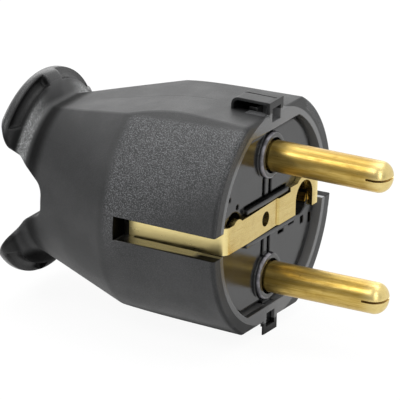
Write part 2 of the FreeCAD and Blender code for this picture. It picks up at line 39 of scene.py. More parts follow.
# Camera: place in metres, the picture's right and down, the line of sight, focal length in pixels
PICTURE_WIDTH = 400
FOCAL_PIXELS = 8283.702
SENSOR_WIDTH = 36.0
CAMERA_PLACE = Vector((0.5360796, -1.0263399, 0.4114915))
PICTURE_RIGHT = Vector((0.8772393, 0.4793343, 0.0262639))
PICTURE_DOWN = Vector((0.1815962, -0.2807032, -0.9424588))
LINE_OF_SIGHT = Vector((-0.4443805, 0.8315313, -0.3332892))

# Softboxes: name, place and aim in metres, width, height, watts
SOFTBOXES = [
    ("top_softbox", (-0.05, 0.15, 0.60), (-0.01, 0, 0), 0.55, 0.45, 1.7),
    ("back_softbox", (-0.32, 0.58, 0.30), (-0.01, 0, 0), 0.50, 0.30, 0.65),
    ("front_softbox", (0.42, -0.38, 0.55), (0, 0, 0), 0.16, 0.16, 0.5),
    ("side_softbox", (-0.30, -0.45, 0.60), (-0.01, 0, 0), 0.26, 0.26, 1.3),
    ("camera_softbox", (0.62, -0.55, 0.30), (0, 0, 0), 0.28, 0.50, 1.5),
    ("ear_softbox", (-0.62, 0.14, 0.12), (-0.035, 0, 0), 0.16, 0.16, 0.35),
]

# Studio floor, in metres, and how much of it shows as plain white
FLOOR_HALF_WIDTH = 4.0
FLOOR_GAP = 0.0001
FLOOR_GREY = (0.5, 0.5, 0.5, 1)
FLOOR_WHITE = 1.08
FLOOR_WHITE_SHARE = 0.86
FLOOR_MIRRORED_SHARE = 0.8

# Moulded and metal base colours, linear, with painted shade, painted glints, a painted highlight, painted
# light and a painted reflection among them
WHITE = (1, 1, 1, 1)
COVER_DARK = (0.016, 0.0165, 0.017, 1)
COVER_LIGHT = (0.024, 0.0245, 0.025, 1)
# Pale specks painted as glints on the grain
GRAIN_SPECK = (0.21, 0.215, 0.225, 1)
EAR_SPECK = (0.56, 0.57, 0.57, 1)
RUBBED_EDGE = (0.080, 0.082, 0.084, 1)
# Painted reflection on the slot's glossy floor
SLOT_POLISH = (0.40, 0.39, 0.36, 1)
# Painted light on the mouth wall
MOUTH_WALL = (0.15, 0.152, 0.155, 1)
SEAM_DARK = (0.006, 0.006, 0.006, 1)
DUST_GREY = (0.16, 0.155, 0.15, 1)
# Black for painted shade
CREVICE_BLACK = (0.003, 0.003, 0.003, 1)
CARRIER_DARK = (0.010, 0.0105, 0.011, 1)
CARRIER_LIGHT = (0.017, 0.0175, 0.0185, 1)
# Painted highlight on the collars
COLLAR_RUBBED = (0.26, 0.25, 0.28, 1)
BRASS_BRIGHT = (0.68, 0.495, 0.15, 1)
BRASS_DEEP = (0.47, 0.305, 0.06, 1)
BRASS_TARNISH = (0.30, 0.18, 0.04, 1)
BRASS_SPOT = (0.09, 0.055, 0.02, 1)
STRAP_BRIGHT = (0.64, 0.50, 0.195, 1)
STRAP_DEEP = (0.59, 0.445, 0.155, 1)
# Pale brass: rubbed wear on the pin tips, painted light on the strap's legs
BRASS_RUBBED = (0.95, 0.80, 0.38, 1)
STEEL_BRIGHT = (0.62, 0.62, 0.60, 1)
STEEL_DULL = (0.40, 0.41, 0.40, 1)
BLACKED_STEEL = (0.004, 0.004, 0.004, 1)
BLACKED_WORN = (0.010, 0.010, 0.009, 1)
RETAINER_PALE = (0.50, 0.49, 0.45, 1)
RETAINER_DULL = (0.40, 0.39, 0.35, 1)
RUBBER_DARK = (0.018, 0.018, 0.019, 1)
RUBBER_BLOOM = (0.045, 0.045, 0.046, 1)

# Grain, relief and softened edges, in millimetres
COARSE_GRAIN = 0.155
FINE_GRAIN = 0.11
COVER_RELIEF = 0.11
COVER_EDGE = 0.2
EAR_EDGE = 0.75
CARRIER_GRAIN = 0.2
CARRIER_RELIEF = 0.010
CARRIER_EDGE = 0.4

# Places on the barrel, in millimetres: x runs back from the rim to minus, y to the far side, z up
SHOULDER_DEPTH = 19.0
FLAT_HALF_WIDTH = 8.9
PANEL_FADE_SLANT = -0.6
PANEL_FADE_LOW = 5.0
PANEL_FADE_HIGH = 15.0
SEAM_HALF_WIDTH = 0.04
SEAM_LOWEST = 10.0
SEAM_BACK = -31.0
SEAM_FRONT = -9.0
SLOT_HALF_HEIGHT = 1.8
SLOT_BACK = -17.4
SLOT_INNER = 12.0
# The near slot floor's gloss and painted reflection stop at these places
SLOT_POLISH_EDGE = -17.9
SLOT_POLISH_FRONT = -3.0
MOUTH_RADIUS = 16.6
MOUTH_DEPTH = 4.0
RIM_BACK = -0.9

# Places on the neck and the ears, in millimetres
NECK_VALLEY = -34.9
EAR_FLANK_FRONT = -36.3
EAR_FLANK_INNER = 3.0
EAR_FLANK_OUTER = 9.0
EAR_GROOVE = -37.9
EAR_GROOVE_RING = 15.0
EAR_GROOVE_RADIUS = 1.0
TONGUE_HALF_WIDTH = 1.2
LOWER_VALLEY_DARK = -12.0
LOWER_VALLEY_LIT = -9.5
LOWER_EAR_DARK = -11.4
LOWER_EAR_LIT = -9.2

# Places on the carrier and the brass, in millimetres
PIN_SPACING = 19.0
COLLAR_FOOT = 3.9
COLLAR_SHOULDER_INNER = 3.25
COLLAR_SHOULDER_OUTER = 3.7
STRAP_LEG_INNER = 13.0
PIN_TOP_SIDE = 9.0
PIN_ROOT = 2.0
WORN_TIP_START = 15.5
WORN_TIP_END = 18.6


# Node helpers

def place(tree, kind, inputs=(), **settings):
    """A shader node with its settings and with values or links on its inputs."""
    node = tree.nodes.new("ShaderNode" + kind)
    for name, value in settings.items():
        setattr(node, name, value)
    for key, value in dict(inputs).items():
        if isinstance(value, bpy.types.NodeSocket):
            tree.links.new(value, node.inputs[key])
        else:
            node.inputs[key].default_value = value
    return node


def sum_of(tree, operation, first, second=0.0, third=0.0):
    """One step of arithmetic."""
    return place(tree, "Math", {0: first, 1: second, 2: third}, operation=operation).outputs[0]


def product(tree, *values):
    """All the values multiplied."""
    total = values[0]
    for value in values[1:]:
        total = sum_of(tree, "MULTIPLY", total, value)
    return total


def greatest(tree, *values):
    """The greatest of the values."""
    top = values[0]
    for value in values[1:]:
        top = sum_of(tree, "MAXIMUM", top, value)
    return top


def plus_share(tree, value, mask, share):
    """The value with a share of a mask added."""
    return sum_of(tree, "MULTIPLY_ADD", mask, share, value)


def kept_off(tree, value, mask, share):
    """The value, lessened by a share where the mask is set."""
    return product(tree, value, plus_share(tree, 1.0, mask, -share))


def reach_of(tree, first, second):
    """The length that two distances at right angles make."""
    squares = sum_of(tree, "MULTIPLY_ADD", first, first, product(tree, second, second))
    return sum_of(tree, "SQRT", squares)


def rise(tree, value, low, high, start=0.0, end=1.0):
    """A smooth step from start to end while the value goes from low to high."""
    inputs = {"Value": value, "From Min": low, "From Max": high, "To Min": start, "To Max": end}
    return place(tree, "MapRange", inputs, interpolation_type="SMOOTHSTEP").outputs["Result"]


def fall(tree, value, low, high, start=1.0, end=0.0):
    """A smooth step down while the value goes from low to high."""
    return rise(tree, value, low, high, start, end)


def blend_colour(tree, factor, first, second):
    """The first colour going over to the second."""
    return place(tree, "Mix", {0: factor, 6: first, 7: second}, data_type="RGBA").outputs[2]


def stretched(tree, vector, scale):
    """Coordinates scaled along each axis."""
    return place(tree, "VectorMath", {0: vector, 1: scale}, operation="MULTIPLY").outputs[0]


def cloud(tree, vector, scale, detail=2.0, roughness=0.5):
    """A noise value about 0.5."""
    inputs = {"Vector": vector, "Scale": scale, "Detail": detail, "Roughness": roughness}
    return place(tree, "TexNoise", inputs).outputs[0]


def shared_effect(name, inputs, outputs):
    """A new node group with named sockets, and its input and output nodes."""
    tree = bpy.data.node_groups.new(name, "ShaderNodeTree")
    for label, kind in inputs:
        tree.interface.new_socket(name=label, in_out="INPUT", socket_type="NodeSocket" + kind)
    for label in outputs:
        tree.interface.new_socket(name=label, in_out="OUTPUT", socket_type="NodeSocketFloat")
    return tree, tree.nodes.new("NodeGroupInput").outputs, tree.nodes.new("NodeGroupOutput").inputs


def effect(tree, group, **inputs):
    """A node group placed in a material with its own values."""
    node = tree.nodes.new("ShaderNodeGroup")
    node.node_tree = group
    for name, value in inputs.items():
        socket = node.inputs[name]
        if isinstance(value, bpy.types.NodeSocket):
            tree.links.new(value, socket)
        else:
            socket.default_value = value
    return node.outputs


# Effects that several materials share. Places and sizes are in millimetres.

def per_size(tree, point, size):
    """Coordinates counted in a given size."""
    scale = sum_of(tree, "DIVIDE", 1.0, size)
    return place(tree, "VectorMath", {0: point, "Scale": scale}, operation="SCALE").outputs[0]


def make_spark_grain():
    """Spark-eroded mould grain: a rough height, and a mask of its facets, which the cover paints pale as
    glints.
    """
    sockets = [("Place", "Vector"), ("Size", "Float")]
    tree, given, result = shared_effect("spark_grain", sockets, ["Height", "Speck"])
    scaled = per_size(tree, given["Place"], given["Size"])
    lumps = cloud(tree, scaled, 1.0, 2.0, 0.6)
    facets = place(tree, "TexVoronoi", {"Vector": scaled, "Scale": 0.8}).outputs["Distance"]
    height = plus_share(tree, lumps, facets, -0.35)
    tree.links.new(height, result["Height"])
    tree.links.new(rise(tree, height, 0.24, 0.56), result["Speck"])
    return tree


def make_hand_smudge():
    """Soft blotches left by hands and wiping."""
    sockets = [("Place", "Vector"), ("Size", "Float")]
    tree, given, result = shared_effect("hand_smudge", sockets, ["Mask"])
    scaled = per_size(tree, given["Place"], given["Size"])
    blotch = cloud(tree, scaled, 1.0, 4.0, 0.55)
    tree.links.new(rise(tree, blotch, 0.38, 0.68), result["Mask"])
    return tree


def make_edge_rub():
    """Wear that starts at an edge and breaks up away from it."""
    sockets = [("Place", "Vector"), ("Distance", "Float"), ("Width", "Float")]
    tree, given, result = shared_effect("edge_rub", sockets, ["Mask"])
    ragged = sum_of(tree, "MULTIPLY_ADD", cloud(tree, given["Place"], 2.2, 3.0, 0.6), 1.6, -0.5)
    reach = greatest(tree, product(tree, given["Width"], ragged), 0.001)
    share = sum_of(tree, "DIVIDE", given["Distance"], reach)
    tree.links.new(fall(tree, share, 0.2, 1.0), result["Mask"])
    return tree


def make_settled_dust():
    """A thin film of dust on faces that look up."""
    sockets = [("Place", "Vector"), ("Up", "Float"), ("Amount", "Float")]
    tree, given, result = shared_effect("settled_dust", sockets, ["Mask"])
    level = rise(tree, given["Up"], 0.5, 1.0)
    flecks = rise(tree, cloud(tree, given["Place"], 5.0, 3.0, 0.7), 0.45, 0.75)
    patchy = rise(tree, cloud(tree, given["Place"], 0.25, 2.0, 0.5), 0.3, 0.7, 0.3, 1.0)
    tree.links.new(product(tree, level, flecks, patchy, given["Amount"]), result["Mask"])
    return tree


def make_drawn_streaks():
    """Fine lines along a drawn or brushed surface. The place comes stretched along the lines."""
    tree, given, result = shared_effect("drawn_streaks", [("Place", "Vector")], ["Streak", "Height"])
    broad = cloud(tree, given["Place"], 1.0, 3.0, 0.6)
    fine = cloud(tree, given["Place"], 4.5, 2.0, 0.5)
    height = plus_share(tree, product(tree, broad, 0.55), fine, 0.45)
    tree.links.new(rise(tree, height, 0.36, 0.64), result["Streak"])
    tree.links.new(height, result["Height"])
    return tree


def make_brass_tarnish():
    """Brown bloom in patches and small dark spots."""
    sockets = [("Place", "Vector"), ("Amount", "Float")]
    tree, given, result = shared_effect("brass_tarnish", sockets, ["Bloom", "Spot"])
    patch = rise(tree, cloud(tree, given["Place"], 0.55, 4.0, 0.65), 0.46, 0.72)
    tree.links.new(product(tree, patch, given["Amount"]), result["Bloom"])
    pits = place(tree, "TexVoronoi", {"Vector": given["Place"], "Scale": 0.9}).outputs["Distance"]
    thinned = rise(tree, cloud(tree, given["Place"], 0.35, 1.0, 0.5), 0.52, 0.6)
    spot = product(tree, fall(tree, pits, 0.06, 0.15), thinned, given["Amount"])
    tree.links.new(spot, result["Spot"])
    return tree


def make_crevice_shade():
    """Painted shade where little light gets in, within a reach. Places as open as Clear get none."""
    sockets = [("Reach", "Float"), ("Clear", "Float")]
    tree, given, result = shared_effect("crevice_shade", sockets, ["Mask"])
    reach = product(tree, given["Reach"], 0.001)
    openness = place(tree, "AmbientOcclusion", {"Distance": reach}, samples=12).outputs["AO"]
    tree.links.new(fall(tree, openness, 0.15, given["Clear"]), result["Mask"])
    return tree


spark_grain = make_spark_grain()
hand_smudge = make_hand_smudge()
edge_rub = make_edge_rub()
settled_dust = make_settled_dust()
drawn_streaks = make_drawn_streaks()
brass_tarnish = make_brass_tarnish()
crevice_shade = make_crevice_shade()


# Materials

def new_surface(name):
    """An empty material with its shader, and the place on the plug in millimetres with its three parts."""
    material = bpy.data.materials.new(name)
    material.use_nodes = True
    tree = material.node_tree
    tree.nodes.clear()
    shader = place(tree, "BsdfPrincipled")
    place(tree, "OutputMaterial", {"Surface": shader.outputs[0]})
    metres = place(tree, "TexCoord").outputs["Object"]
    point = stretched(tree, metres, (1000, 1000, 1000))
    x, y, z = place(tree, "SeparateXYZ", {0: point}).outputs
    return SimpleNamespace(material=material, tree=tree, shader=shader, point=point, x=x, y=y, z=z)


def finish_surface(surface, colour, roughness, height, relief, edge=None):
    """Links colour, roughness and a bump over softened edges. Relief is in millimetres, edge in metres."""
    tree = surface.tree
    shader = surface.shader
    tree.links.new(colour, shader.inputs["Base Color"])
    tree.links.new(roughness, shader.inputs["Roughness"])
    bump = place(tree, "Bump", {"Strength": 1.0, "Distance": relief / 1000, "Height": height})
    if edge is not None:
        softened = place(tree, "Bevel", {"Radius": edge}, samples=8)
        tree.links.new(softened.outputs[0], bump.inputs["Normal"])
    tree.links.new(bump.outputs[0], shader.inputs["Normal"])
    return surface.material


# Where the cover's finishes, painted shade, painted light and painted reflection lie

def grained_panels(cover):
    """The coarse-grained sides of the barrel, whose grain relief and painted glints fade toward the
    underside; the fading of the glints is painted shade.
    """
    tree = cover.tree
    on_side = rise(tree, cover.aside, FLAT_HALF_WIDTH, FLAT_HALF_WIDTH + 1.0)
    on_barrel = rise(tree, cover.x, -SHOULDER_DEPTH - 0.8, -SHOULDER_DEPTH + 0.8)
    outside = rise(tree, cover.out, MOUTH_RADIUS + 0.1, MOUTH_RADIUS + 0.5)
    slanted = plus_share(tree, cover.z, cover.x, PANEL_FADE_SLANT)
    upper = rise(tree, slanted, PANEL_FADE_LOW, PANEL_FADE_HIGH, 0.15, 1.0)
    return product(tree, on_side, on_barrel, outside, upper)


def ear_flank(cover):
    """The grained flank of the upper ear, between its groove and the neck, with painted glints on its grain.
    """
    tree = cover.tree
    before_groove = rise(tree, cover.x, EAR_GROOVE + 0.5, EAR_GROOVE + 0.9)
    behind_neck = fall(tree, cover.x, EAR_FLANK_FRONT - 0.4, EAR_FLANK_FRONT + 0.4)
    sideways = rise(tree, cover.aside, EAR_FLANK_INNER, EAR_FLANK_OUTER)
    upper = rise(tree, cover.z, 0.0, 1.0)
    return product(tree, before_groove, behind_neck, sideways, upper)


def far_ears(cover):
    """The far half of the ears, where less painted shade is laid."""
    tree = cover.tree
    far = rise(tree, cover.y, 0.0, 1.5)
    on_ears = fall(tree, cover.x, NECK_VALLEY - 1.8, NECK_VALLEY - 0.8)
    return product(tree, far, on_ears)


def neck_valley(cover):
    """Painted shade in the valley between neck and ears, deepest under the lower ear."""
    tree = cover.tree
    before_ears = rise(tree, cover.x, NECK_VALLEY - 1.4, NECK_VALLEY - 0.3)
    behind_neck = fall(tree, cover.x, NECK_VALLEY + 0.2, NECK_VALLEY + 2.2)
    beneath = fall(tree, cover.z, LOWER_VALLEY_DARK, LOWER_VALLEY_LIT, 0.95)
    above = rise(tree, cover.z, -9.0, -1.0, 0.35, 0.72)
    return product(tree, before_ears, behind_neck, greatest(tree, beneath, above))


def ear_grooves(cover):
    """Painted shade in the grooves of the ears, fading past their lips, toward the tongue in the middle and
    on the far half.
    """
    tree = cover.tree
    across = sum_of(tree, "SUBTRACT", cover.out, EAR_GROOVE_RING)
    along = sum_of(tree, "SUBTRACT", cover.x, EAR_GROOVE)
    reach = reach_of(tree, across, along)
    hollow = fall(tree, reach, EAR_GROOVE_RADIUS - 0.05, EAR_GROOVE_RADIUS + 0.9, 0.74)
    off_tongue = rise(tree, cover.aside, TONGUE_HALF_WIDTH, TONGUE_HALF_WIDTH + 2.2)
    return kept_off(tree, product(tree, hollow, off_tongue), cover.far_ears, 0.75)


def lower_ear(cover):
    """Painted shade on the underside of the lower ear."""
    tree = cover.tree
    low = fall(tree, cover.z, LOWER_EAR_DARK, LOWER_EAR_LIT)
    behind_neck = fall(tree, cover.x, NECK_VALLEY - 0.2, NECK_VALLEY + 0.6)
    before_back = rise(tree, cover.x, EAR_GROOVE - 1.2, EAR_GROOVE - 0.4)
    return product(tree, low, behind_neck, before_back)


def slot_walls(cover):
    """The walls of the side slots, painted black as shade."""
    tree = cover.tree
    off_middle = sum_of(tree, "ABSOLUTE", cover.z)
    level = fall(tree, off_middle, SLOT_HALF_HEIGHT + 0.02, SLOT_HALF_HEIGHT + 0.06)
    before_back = rise(tree, cover.x, SLOT_BACK - 0.06, SLOT_BACK - 0.02)
    sideways = rise(tree, cover.aside, SLOT_INNER, SLOT_INNER + 0.5)
    return product(tree, level, before_back, sideways)


def slot_floor(cover):
    """The glossy floor of the near slot, with a pale painted reflection on it."""
    tree = cover.tree
    inside = rise(tree, cover.y, SLOT_POLISH_EDGE, SLOT_POLISH_EDGE + 0.6)
    near = fall(tree, cover.y, -1.0, 1.0)
    floor = fall(tree, cover.z, 0.05 - SLOT_HALF_HEIGHT, 0.1 - SLOT_HALF_HEIGHT)
    behind_mouth = fall(tree, cover.x, SLOT_POLISH_FRONT - 1.5, SLOT_POLISH_FRONT)
    before_back = rise(tree, cover.x, SLOT_BACK + 0.1, SLOT_BACK + 0.7)
    return product(tree, cover.slot_walls, inside, near, floor, behind_mouth, before_back)


def parting_line(cover):
    """The mould's parting line along the flats."""
    tree = cover.tree
    line = fall(tree, cover.aside, SEAM_HALF_WIDTH, SEAM_HALF_WIDTH + 0.1)
    on_flats = rise(tree, sum_of(tree, "ABSOLUTE", cover.z), SEAM_LOWEST, SEAM_LOWEST + 0.5)
    before_neck = rise(tree, cover.x, SEAM_BACK, SEAM_BACK + 4.0)
    behind_rib = fall(tree, cover.x, SEAM_FRONT - 3.0, SEAM_FRONT)
    return product(tree, line, on_flats, before_neck, behind_rib)


def mouth_wall(cover):
    """The smooth wall inside the mouth, which carries pale painted light."""
    tree = cover.tree
    before_carrier = rise(tree, cover.x, -MOUTH_DEPTH, -MOUTH_DEPTH + 0.5)
    inside = fall(tree, cover.out, MOUTH_RADIUS - 0.1, MOUTH_RADIUS)
    return product(tree, before_carrier, inside)


def near_rim(cover):
    """Painted shade on the near side of the rim, darker and less shiny the lower it lies."""
    tree = cover.tree
    front = rise(tree, cover.x, RIM_BACK, RIM_BACK + 0.4)
    lower = fall(tree, cover.z, -13.0, -3.0, 0.68, 0.34)
    near = fall(tree, cover.y, -4.0, 4.0)
    return product(tree, front, lower, near)


def cover_crevices(cover):
    """Painted shade in the cover's corners, less of it in the mouth and on the far half of the ears."""
    tree = cover.tree
    crevices = effect(tree, crevice_shade, Reach=4.5, Clear=0.95)["Mask"]
    crevices = kept_off(tree, crevices, cover.mouth_wall, 0.9)
    return kept_off(tree, crevices, cover.far_ears, 0.75)


def cover_colour(cover):
    """Anthracite with painted glints on the grain, dust, rubbed edges, a dark parting line, painted shade in
    the valleys, grooves, slots, crevices and on the near rim, painted light on the mouth wall and a painted
    reflection on the slot's floor.
    """
    tree = cover.tree
    colour = blend_colour(tree, cover.smudge, COVER_DARK, COVER_LIGHT)
    flank_specks = rise(tree, cover.coarse["Height"], 0.28, 0.46, 0.25, 1.0)
    rim_distance = product(tree, cover.x, -1.0)
    rim_rub = effect(tree, edge_rub, Place=cover.point, Distance=rim_distance, Width=0.7)["Mask"]
    up = place(tree, "SeparateXYZ", {0: place(tree, "NewGeometry").outputs["Normal"]}).outputs[2]
    dust = effect(tree, settled_dust, Place=cover.point, Up=up, Amount=0.16)["Mask"]
    layers = [
        # Painted glints on the grain's facets
        (cover.panel_specks, GRAIN_SPECK),
        (product(tree, cover.fine["Speck"], 0.08), GRAIN_SPECK),
        (product(tree, cover.flank, flank_specks), EAR_SPECK),
        # Painted shade in the neck valley, the ear grooves, under the lower ear and on the slot walls
        (cover.shaded, CREVICE_BLACK),
        (cover.slot_walls, CREVICE_BLACK),
        (product(tree, rim_rub, 0.15), RUBBED_EDGE),
        (product(tree, cover.seam, 0.5), SEAM_DARK),
        (dust, DUST_GREY),
        # Painted shade in crevices
        (cover.crevices, CREVICE_BLACK),
        # Painted light on the mouth wall
        (product(tree, cover.mouth_wall, 0.9), MOUTH_WALL),
        # Painted reflection on the slot's floor
        (cover.slot_floor, SLOT_POLISH),
        # Painted shade on the near rim
        (product(tree, cover.near_rim, 0.6), CREVICE_BLACK),
    ]
    for mask, tint in layers:
        colour = blend_colour(tree, mask, colour, tint)
    return colour


def cover_height(cover):
    """Coarse grain on the panels and the flank, fine grain all over, a sunk parting line, plain slots."""
    tree = cover.tree
    grained = plus_share(tree, cover.panels, cover.flank, 0.8)
    coarse = product(tree, cover.coarse["Height"], sum_of(tree, "ADD", grained, 0.04))
    height = plus_share(tree, coarse, cover.fine["Height"], 0.20)
    height = plus_share(tree, height, cover.seam, -0.4)
    return kept_off(tree, height, cover.slot_walls, 1.0)


def cover_roughness(cover):
    """Satin, smoother on handled ears, in the mouth and on the slot's floor, dull in crevices."""
    tree = cover.tree
    handled = rise(tree, cover.x, EAR_GROOVE, EAR_GROOVE + 1.0, -0.38, 0.0)
    roughness = plus_share(tree, 0.54, cover.smudge, -0.06)
    roughness = plus_share(tree, roughness, cover.panel_specks, -0.12)
    roughness = sum_of(tree, "ADD", roughness, handled)
    roughness = plus_share(tree, roughness, cover.dull, 0.4)
    roughness = kept_off(tree, roughness, cover.slot_floor, 0.65)
    roughness = plus_share(tree, roughness, cover.mouth_wall, -0.34)
    return greatest(tree, roughness, 0.1)


def make_cover_plastic():
    """Anthracite moulding: coarse grain on the barrel's sides, fine grain elsewhere, painted shade in
    crevices.
    """
    cover = new_surface("cover_plastic")
    tree = cover.tree
    cover.aside = sum_of(tree, "ABSOLUTE", cover.y)
    cover.out = reach_of(tree, cover.y, cover.z)
    cover.coarse = effect(tree, spark_grain, Place=cover.point, Size=COARSE_GRAIN)
    cover.fine = effect(tree, spark_grain, Place=cover.point, Size=FINE_GRAIN)
    cover.smudge = effect(tree, hand_smudge, Place=cover.point, Size=7.0)["Mask"]
    cover.panels = grained_panels(cover)
    cover.panel_specks = product(tree, cover.coarse["Speck"], cover.panels, 0.75)
    cover.flank = ear_flank(cover)
    cover.far_ears = far_ears(cover)
    cover.slot_walls = slot_walls(cover)
    cover.slot_floor = slot_floor(cover)
    cover.seam = parting_line(cover)
    cover.mouth_wall = mouth_wall(cover)
    cover.near_rim = near_rim(cover)
    cover.crevices = cover_crevices(cover)
    # Painted shade under the lower ear, in the neck valley and in the ear grooves
    underside = lower_ear(cover)
    cover.shaded = greatest(tree, neck_valley(cover), ear_grooves(cover), underside)
    # All the painted shade together, which is also rougher
    cover.dull = greatest(tree, cover.crevices, cover.shaded)

    # Where shade is painted the plastic turns to black metal, so it reflects nothing
    lightless = greatest(tree, product(tree, cover.dull, 0.85), underside, cover.slot_walls, cover.near_rim)
    tree.links.new(lightless, cover.shader.inputs["Metallic"])
    tree.links.new(cover.slot_floor, cover.shader.inputs["Coat Weight"])
    edge = fall(tree, cover.x, NECK_VALLEY - 1.6, NECK_VALLEY - 0.6, EAR_EDGE / 1000, COVER_EDGE / 1000)
    colour = cover_colour(cover)
    return finish_surface(cover, colour, cover_roughness(cover), cover_height(cover), COVER_RELIEF, edge)


def make_carrier_plastic():
    """The satin face of the pin carrier, wiped and slightly scuffed, with painted shade in its crevices and
    a painted highlight on its collars' near shoulders.
    """
    face = new_surface("carrier_plastic")
    tree = face.tree
    smudge = effect(tree, hand_smudge, Place=face.point, Size=3.5)["Mask"]
    fine = effect(tree, spark_grain, Place=face.point, Size=CARRIER_GRAIN)
    front = sum_of(tree, "MULTIPLY_ADD", face.x, -1.0, -0.2)
    rub = effect(tree, edge_rub, Place=face.point, Distance=front, Width=0.35)["Mask"]
    from_pin = sum_of(tree, "SUBTRACT", sum_of(tree, "ABSOLUTE", face.z), PIN_SPACING / 2)
    from_axis = reach_of(tree, from_pin, face.y)
    collar = fall(tree, from_axis, COLLAR_FOOT, COLLAR_FOOT + 0.5)
    # Painted shade in crevices, kept off the collars; there the face turns to black metal, so it reflects
    # nothing
    crevices = effect(tree, crevice_shade, Reach=1.6, Clear=0.6)["Mask"]
    crevices = kept_off(tree, crevices, collar, 0.7)
    tree.links.new(crevices, face.shader.inputs["Metallic"])
    # Painted highlight on the collars' near shoulders, faint on the far side
    shoulder = product(
        tree,
        rise(tree, from_axis, COLLAR_SHOULDER_INNER, COLLAR_SHOULDER_INNER + 0.15),
        fall(tree, from_axis, COLLAR_SHOULDER_OUTER - 0.08, COLLAR_SHOULDER_OUTER),
        rise(tree, face.x, -0.75, -0.45),
        fall(tree, face.y, -0.8, 1.4, 1.0, 0.12),
        rise(tree, cloud(tree, face.point, 0.7, 2.0, 0.5), 0.35, 0.6, 0.35, 1.0),
    )
    colour = blend_colour(tree, smudge, CARRIER_DARK, CARRIER_LIGHT)
    colour = blend_colour(tree, product(tree, rub, 0.35), colour, RUBBED_EDGE)
    colour = blend_colour(tree, crevices, colour, CREVICE_BLACK)
    colour = blend_colour(tree, shoulder, colour, COLLAR_RUBBED)
    roughness = plus_share(tree, 0.11, smudge, 0.08)
    roughness = plus_share(tree, roughness, fine["Speck"], 0.04)
    roughness = plus_share(tree, roughness, collar, -0.05)
    return finish_surface(face, colour, roughness, fine["Height"], CARRIER_RELIEF, CARRIER_EDGE / 1000)


def make_brass(name, bright, deep, line_scale, relief, tarnish, shine, grime):
    """Drawn brass with streaks along its length, brown bloom, dark spots, rubbed pin tips, pale strap legs
    as painted light, painted shade over the upper pin's top and painted shade in crevices as far as asked.
    """
    brass = new_surface(name)
    tree = brass.tree
    brass.shader.inputs["Metallic"].default_value = 1.0
    streaks = effect(tree, drawn_streaks, Place=stretched(tree, brass.point, line_scale))
    marks = effect(tree, brass_tarnish, Place=brass.point, Amount=tarnish)
    smudge = effect(tree, hand_smudge, Place=brass.point, Size=2.4)["Mask"]
    crevices = effect(tree, crevice_shade, Reach=2.0, Clear=0.7)["Mask"]
    # Strap legs: painted light in a pale brass colour, rougher, and kept free of painted shade
    strap_leg = rise(tree, sum_of(tree, "ABSOLUTE", brass.y), STRAP_LEG_INNER, STRAP_LEG_INNER + 1.5)
    off_root = rise(tree, brass.x, PIN_ROOT, PIN_ROOT + 5.0)
    # Painted shade over the upper pin's top, in tarnish colour
    top_side = product(tree, rise(tree, brass.z, PIN_TOP_SIDE, PIN_TOP_SIDE + 2.0, 0.0, 0.42), off_root)
    worn_tip = rise(tree, brass.x, WORN_TIP_START, WORN_TIP_END, 0.0, 0.55)
    # Painted shade in crevices, as much as asked, none on the strap legs
    grimy = product(tree, kept_off(tree, crevices, strap_leg, 1.0), grime)
    layers = [
        (marks["Bloom"], BRASS_TARNISH),
        (marks["Spot"], BRASS_SPOT),
        (product(tree, strap_leg, 0.85), BRASS_RUBBED),
        (top_side, BRASS_TARNISH),
        (worn_tip, BRASS_RUBBED),
        (grimy, CREVICE_BLACK),
    ]
    colour = blend_colour(tree, streaks["Streak"], deep, bright)
    for mask, tint in layers:
        colour = blend_colour(tree, mask, colour, tint)
    roughness = plus_share(tree, shine, streaks["Streak"], -0.08)
    roughness = plus_share(tree, roughness, marks["Bloom"], 0.22)
    roughness = plus_share(tree, roughness, smudge, 0.06)
    roughness = plus_share(tree, roughness, strap_leg, 0.08)
    return finish_surface(brass, colour, roughness, streaks["Height"], relief)


def make_screw_steel():
    """Zinc-plated steel with turning lines and dull patches."""
    steel = new_surface("screw_steel")
    tree = steel.tree
    steel.shader.inputs["Metallic"].default_value = 1.0
    smudge = effect(tree, hand_smudge, Place=steel.point, Size=1.6)["Mask"]
    streaks = effect(tree, drawn_streaks, Place=stretched(tree, steel.point, (5.0, 1.2, 5.0)))
    colour = blend_colour(tree, smudge, STEEL_BRIGHT, STEEL_DULL)
    roughness = plus_share(tree, 0.28, smudge, 0.16)
    return finish_surface(steel, colour, roughness, streaks["Height"], 0.012)


def make_screw_black():
    """Blackened steel, worn a little at random."""
    steel = new_surface("screw_black")
    tree = steel.tree
    steel.shader.inputs["Metallic"].default_value = 0.3
    smudge = effect(tree, hand_smudge, Place=steel.point, Size=1.2)["Mask"]
    streaks = effect(tree, drawn_streaks, Place=stretched(tree, steel.point, (1.0, 4.0, 4.0)))
    colour = blend_colour(tree, smudge, BLACKED_STEEL, BLACKED_WORN)
    roughness = plus_share(tree, 0.5, smudge, -0.1)
    return finish_surface(steel, colour, roughness, streaks["Height"], 0.01)


def make_retainer_plastic():
    """Pale insulating moulding with a fine grain."""
    retainer = new_surface("retainer_plastic")
    tree = retainer.tree
    smudge = effect(tree, hand_smudge, Place=retainer.point, Size=4.0)["Mask"]
    fine = effect(tree, spark_grain, Place=retainer.point, Size=0.18)
    colour = blend_colour(tree, smudge, RETAINER_PALE, RETAINER_DULL)
    roughness = plus_share(tree, 0.46, fine["Speck"], 0.08)
    return finish_surface(retainer, colour, roughness, fine["Height"], 0.02)


def make_grommet_rubber():
    """Soft black rubber with a pale bloom."""
    rubber = new_surface("grommet_rubber")
    tree = rubber.tree
    smudge = effect(tree, hand_smudge, Place=rubber.point, Size=2.5)["Mask"]
    fine = effect(tree, spark_grain, Place=rubber.point, Size=0.12)
    colour = blend_colour(tree, smudge, RUBBER_DARK, RUBBER_BLOOM)
    roughness = plus_share(tree, 0.68, smudge, 0.1)
    return finish_surface(rubber, colour, roughness, fine["Height"], 0.015)


